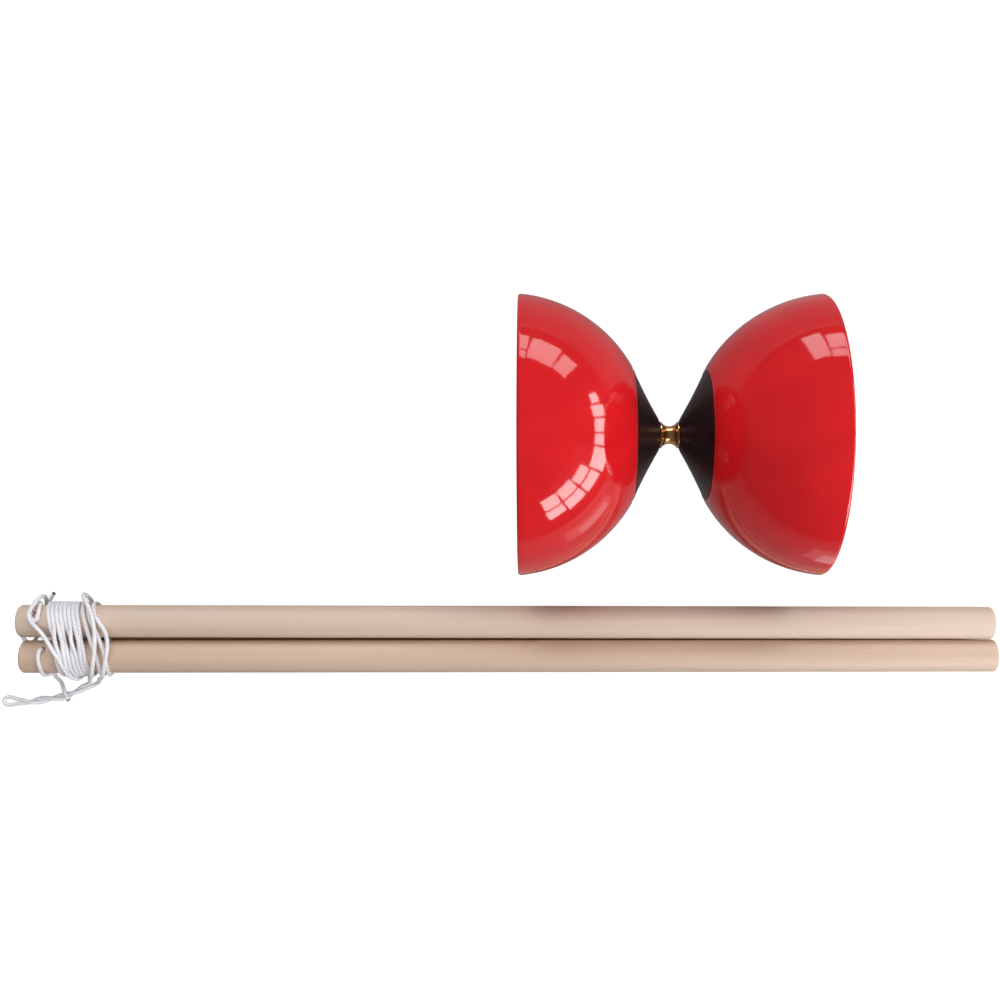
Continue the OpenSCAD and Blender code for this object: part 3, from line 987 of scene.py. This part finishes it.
def stick_wood(stick, tint):
    """Pale unfinished beech: long streaks, short dark flecks, fine pores, and rings on the end grain; each
    stick's colours are scaled by a tint of painted light or shade.
    """
    paint = Paint(f"{stick.body}_wood", (0.72, 0.55, 0.41), 0.55)

    # tone scales a colour by the stick's tint, its painted light or shade.
    def tone(*colour):
        return tuple(np.multiply(colour, tint))

    streaks = paint.noise(paint.place((6, 260, 260)), 1, 5, 0.6, 0.5)
    wide = paint.noise(paint.place((2.5, 60, 60)), 1, 3, 0.5, 0.4)
    flecks = paint.noise(paint.place((260, 1500, 1500)), 1, 2, 0.5)
    side = paint.ramp(streaks, [(0.25, tone(0.58, 0.455, 0.365)), (0.55, tone(0.66, 0.53, 0.435)),
                                (0.8, tone(0.72, 0.60, 0.505))])
    bands = paint.ramp(wide, [(0.3, tone(0.60, 0.475, 0.38)), (0.7, tone(0.71, 0.585, 0.49))])
    side = paint.mix(0.45, side, bands)
    dark_flecks = paint.ramp(flecks, [(0.62, (1, 1, 1)), (0.72, (0.62, 0.45, 0.33))])
    side = paint.mix(0.15, side, dark_flecks, "MULTIPLY")
    rings = paint.node("ShaderNodeTexWave", [(paint.place((0, 1, 1.25)), "Vector")], wave_type="RINGS",
                       rings_direction="X", Scale=330, Distortion=5, Detail=2, Detail_Scale=0.35)
    pores = paint.noise(paint.place((0, 1, 1)), 3200, 2, 0.6)
    grain = paint.mix(0.45, rings.outputs["Fac"], pores)
    end = paint.ramp(grain, [(0.2, tone(0.56, 0.42, 0.32)), (0.8, tone(0.68, 0.54, 0.43))])
    normal = paint.node("ShaderNodeNewGeometry")
    parts = paint.node("ShaderNodeSeparateXYZ", [(normal.outputs["True Normal"], "Vector")])
    facing = paint.node("ShaderNodeMath", [(parts.outputs["X"], 0)], operation="ABSOLUTE")
    is_end = paint.ramp(facing.outputs[0], [(0.75, 0.0), (0.85, 1.0)])
    paint.link(paint.mix(is_end, side, end), "Base Color")
    paint.link(paint.ramp(streaks, [(0.3, 0.62), (0.8, 0.48)]), "Roughness")
    fine = paint.bump(flecks, 0.10, 0.0003)
    paint.link(paint.bump(streaks, 0.18, 0.0003, fine), "Normal")
    return paint.material


def string_fibre():
    """White braided cord: crossing carriers of fine filaments, with painted shade making it slightly grey in
    the grooves between them.
    """
    paint = Paint("string", (0.84, 0.83, 0.86), 0.7, Sheen_Weight=0.25, Sheen_Roughness=0.4)
    one = paint.node("ShaderNodeTexWave", [(paint.place((1, 3, 1), "UV"), "Vector")],
                     bands_direction="DIAGONAL", Scale=0.62)
    filaments = paint.noise(paint.place((3, 60, 1), "UV"), 2, 3, 0.6)
    # Painted shade: the cord is greyer where the braid's bump is low, in the grooves between carriers.
    grey = paint.ramp(one.outputs["Fac"], [(0.0, (0.82, 0.81, 0.84)), (0.4, (0.93, 0.92, 0.93))])
    soil = paint.noise(paint.place(), 120, 3)
    tint = paint.ramp(soil, [(0.35, (0.90, 0.89, 0.93)), (0.7, (1.0, 0.99, 1.0))])
    paint.link(paint.mix(1.0, grey, tint, "MULTIPLY"), "Base Color")
    height = paint.mix(0.5, one.outputs["Fac"], filaments)
    paint.link(paint.bump(height, 0.35, 0.0002), "Normal")
    return paint.material


def string_tip():
    """Melted end of the cord, grey and glassy."""
    paint = Paint("string_tip", (0.10, 0.09, 0.09), 0.35)
    tone = paint.noise(paint.place(), 900, 3)
    paint.link(paint.ramp(tone, [(0.3, (0.10, 0.095, 0.09)), (0.7, (0.32, 0.30, 0.29))]), "Base Color")
    paint.link(paint.bump(tone, 0.4, 0.0003), "Normal")
    return paint.material


# The painted shade in the narrow gap between the sticks, a dark brown line where the floor's glow is also
# taken away: for each axis, how far from its middle it is full, and where it has faded out.
GAP_SHADE_FADE = {"X": (170, 180), "Y": (1.5, 3.5)}
GAP_SHADE_OFFSET = (0, 1.1, 0)
# Colour of the painted shade in the gap, warmed to brown as painted light thrown off the wood.
GAP_SHADE_COLOR = (0.36, 0.21, 0.11)
FLOOR_GLOW = 0.9


def floor_paint():
    """Pale floor, white to the camera, with a soft dark line of painted shade in the narrow gap between the
    sticks.
    """
    paint = Paint("floor", (0.36, 0.36, 0.36), 0.8, Specular_IOR_Level=0.0)
    paint.shader.inputs["Emission Color"].default_value = (1, 1, 1, 1)
    tone = paint.noise(paint.place(), 3, 2)
    grey = paint.ramp(tone, [(0.3, (0.35, 0.35, 0.35)), (0.7, (0.37, 0.37, 0.37))])
    parts = paint.node("ShaderNodeSeparateXYZ", [(paint.place(), "Vector")])
    centre = (BACK.middle + FRONT.middle) / 2 - GAP_SHADE_OFFSET
    inside = []
    for middle, (axis, (full, none)) in zip(centre, GAP_SHADE_FADE.items()):
        away = paint.node("ShaderNodeMath", [(parts.outputs[axis], 0)], operation="SUBTRACT")
        away.inputs[1].default_value = middle * MM
        size = paint.node("ShaderNodeMath", [(away.outputs[0], 0)], operation="ABSOLUTE")
        fade = paint.node("ShaderNodeMapRange", [(size.outputs[0], "Value")], interpolation_type="SMOOTHSTEP",
                          From_Min=full * MM, From_Max=none * MM, To_Min=1, To_Max=0)
        inside.append(fade.outputs["Result"])
    gap = paint.node("ShaderNodeMath", [(inside[0], 0), (inside[1], 1)], operation="MULTIPLY")
    # Paints the gap's shade into the floor's colour.
    paint.link(paint.mix(gap.outputs[0], grey, GAP_SHADE_COLOR), "Base Color")
    # Camera rays see the floor glow white, except in the gap, which is left dark as painted shade.
    rays = paint.node("ShaderNodeLightPath")
    glow = paint.node("ShaderNodeMath", [(rays.outputs["Is Camera Ray"], 0), (gap.outputs[0], 1)],
                      operation="SUBTRACT")
    glow.use_clamp = True
    dim = paint.node("ShaderNodeMath", [(glow.outputs[0], 0)], operation="MULTIPLY")
    dim.inputs[1].default_value = FLOOR_GLOW
    paint.link(dim.outputs[0], "Emission Strength")
    return paint.material


# --- Stage and light ---

def make_floor():
    """A plain pale floor, just under the object."""
    reach = 3000
    corners = [(-reach, -reach, 0), (reach, -reach, 0), (reach, reach, 0), (-reach, reach, 0)]
    floor = make_object("floor", corners, [(0, 1, 2, 3)], floor_paint())


def area_light(name, place, size, radiance, diffuse=True, glossy=True):
    """A rectangular light that faces the diabolo; place and size in millimetres."""
    data = bpy.data.lights.new(name, "AREA")
    data.shape = "RECTANGLE"
    data.size = size[0] * MM
    data.size_y = size[1] * MM
    data.energy = radiance * math.pi * data.size * data.size_y
    light = bpy.data.objects.new(name, data)
    light.location = Vector(np.array(place) * MM)
    light.rotation_euler = (Vector(AXLE * MM) - light.location).to_track_quat("-Z", "Y").to_euler()
    light.visible_diffuse = diffuse
    light.visible_glossy = glossy
    light.visible_camera = False
    bpy.context.scene.collection.objects.link(light)


def way(azimuth, elevation):
    """Direction from the diabolo; azimuth 0 is +X and 90 is +Y, in degrees."""
    a = math.radians(azimuth)
    e = math.radians(elevation)
    return np.array([math.cos(e) * math.cos(a), math.cos(e) * math.sin(a), math.sin(e)])


# Panes of the windows that the cups mirror: azimuth from and to, elevation from and to.
PANES = [
    (46, 57, 9, 27), (58.5, 77.5, 7, 28), (79, 93, 7, 21), (79, 93, 22.5, 29), (94.5, 106, 3, 28),
    (20.5, 27, 9, 17), (11.5, 19, 7, 19), (1.5, 10, 7, 18.5), (-7, 0, 6, 18.5), (-22.5, -8.5, 3, 18),
    (-37, -24, 5, 15), (-37, -24, 16.5, 26), (-52, -38.5, 6, 16), (-52, -38.5, 17.5, 28),
    (-66, -53.5, 8, 16), (-66, -53.5, 17.5, 28),
]
PANE_DISTANCE = 1500
SIDE_PANE_RADIANCE = 10
BACK_PANE_RADIANCE = 4.5
BACK_PANES_FROM = 40
AMBIENT = 0.15


def make_lights():
    """Soft light from above, behind and the right, and bright panes that only reflections show."""
    area_light("overhead", AXLE + [-100, 100, 1400], (2200, 2200), 1.12, glossy=False)
    area_light("back", AXLE + way(92, 20) * 1500, (1200, 600), 4.6, glossy=False)
    area_light("right", AXLE + way(-35, 26) * 700, (500, 300), 7.2, glossy=False)
    for number, (az0, az1, el0, el1) in enumerate(PANES):
        middle = (el0 + el1) / 2
        wide = math.radians(az1 - az0) * math.cos(math.radians(middle)) * PANE_DISTANCE
        high = math.radians(el1 - el0) * PANE_DISTANCE
        place = AXLE + way((az0 + az1) / 2, middle) * PANE_DISTANCE
        radiance = BACK_PANE_RADIANCE if az0 > BACK_PANES_FROM else SIDE_PANE_RADIANCE
        area_light(f"pane_{number}", place, (wide, high), radiance, diffuse=False)
    area_light("gleam_wide", AXLE + [75, -128, -40], (100, 60), 0.5, diffuse=False)
    area_light("gleam", AXLE + [75, -122, -38], (60, 34), 0.9, diffuse=False)
    world = bpy.data.worlds.new("world")
    world.use_nodes = True
    tree = world.node_tree
    sky = tree.nodes["Background"]
    sky.inputs["Color"].default_value = (1, 1, 1, 1)
    rays = tree.nodes.new("ShaderNodeLightPath")
    seen = tree.nodes.new("ShaderNodeMapRange")
    seen.inputs["To Min"].default_value = AMBIENT
    seen.inputs["To Max"].default_value = 1.0
    tree.links.new(rays.outputs["Is Camera Ray"], seen.inputs["Value"])
    tree.links.new(seen.outputs["Result"], sky.inputs["Strength"])
    bpy.context.scene.world = world
    bpy.context.scene.view_settings.view_transform = "Standard"


def main():
    make_camera()
    make_string(string_fibre(), string_tip())
    make_cups(cup_plastic())
    make_hubs(hub_plastic())
    make_spool(turned_metal("spool_brass", (0.78, 0.38, 0.16), (0.95, 0.55, 0.27), 0.12, 0.24, 14))
    make_rod(turned_metal("rod_steel", (0.46, 0.47, 0.48), (0.62, 0.63, 0.65), 0.25, 0.4, 2))
    make_discs(disc_plastic())
    make_washers(turned_metal("washer_steel", (0.56, 0.57, 0.58), (0.70, 0.71, 0.73), 0.22, 0.38, 4))
    make_nuts(turned_metal("nut_steel", (0.60, 0.61, 0.62), (0.74, 0.75, 0.77), 0.2, 0.34, 5))
    make_nylon_rings(nylon())
    make_stick(BACK, stick_wood(BACK, BACK_LIT_TINT))
    make_stick(FRONT, stick_wood(FRONT, FRONT_SHADED_TINT))
    make_floor()
    make_lights()


main()
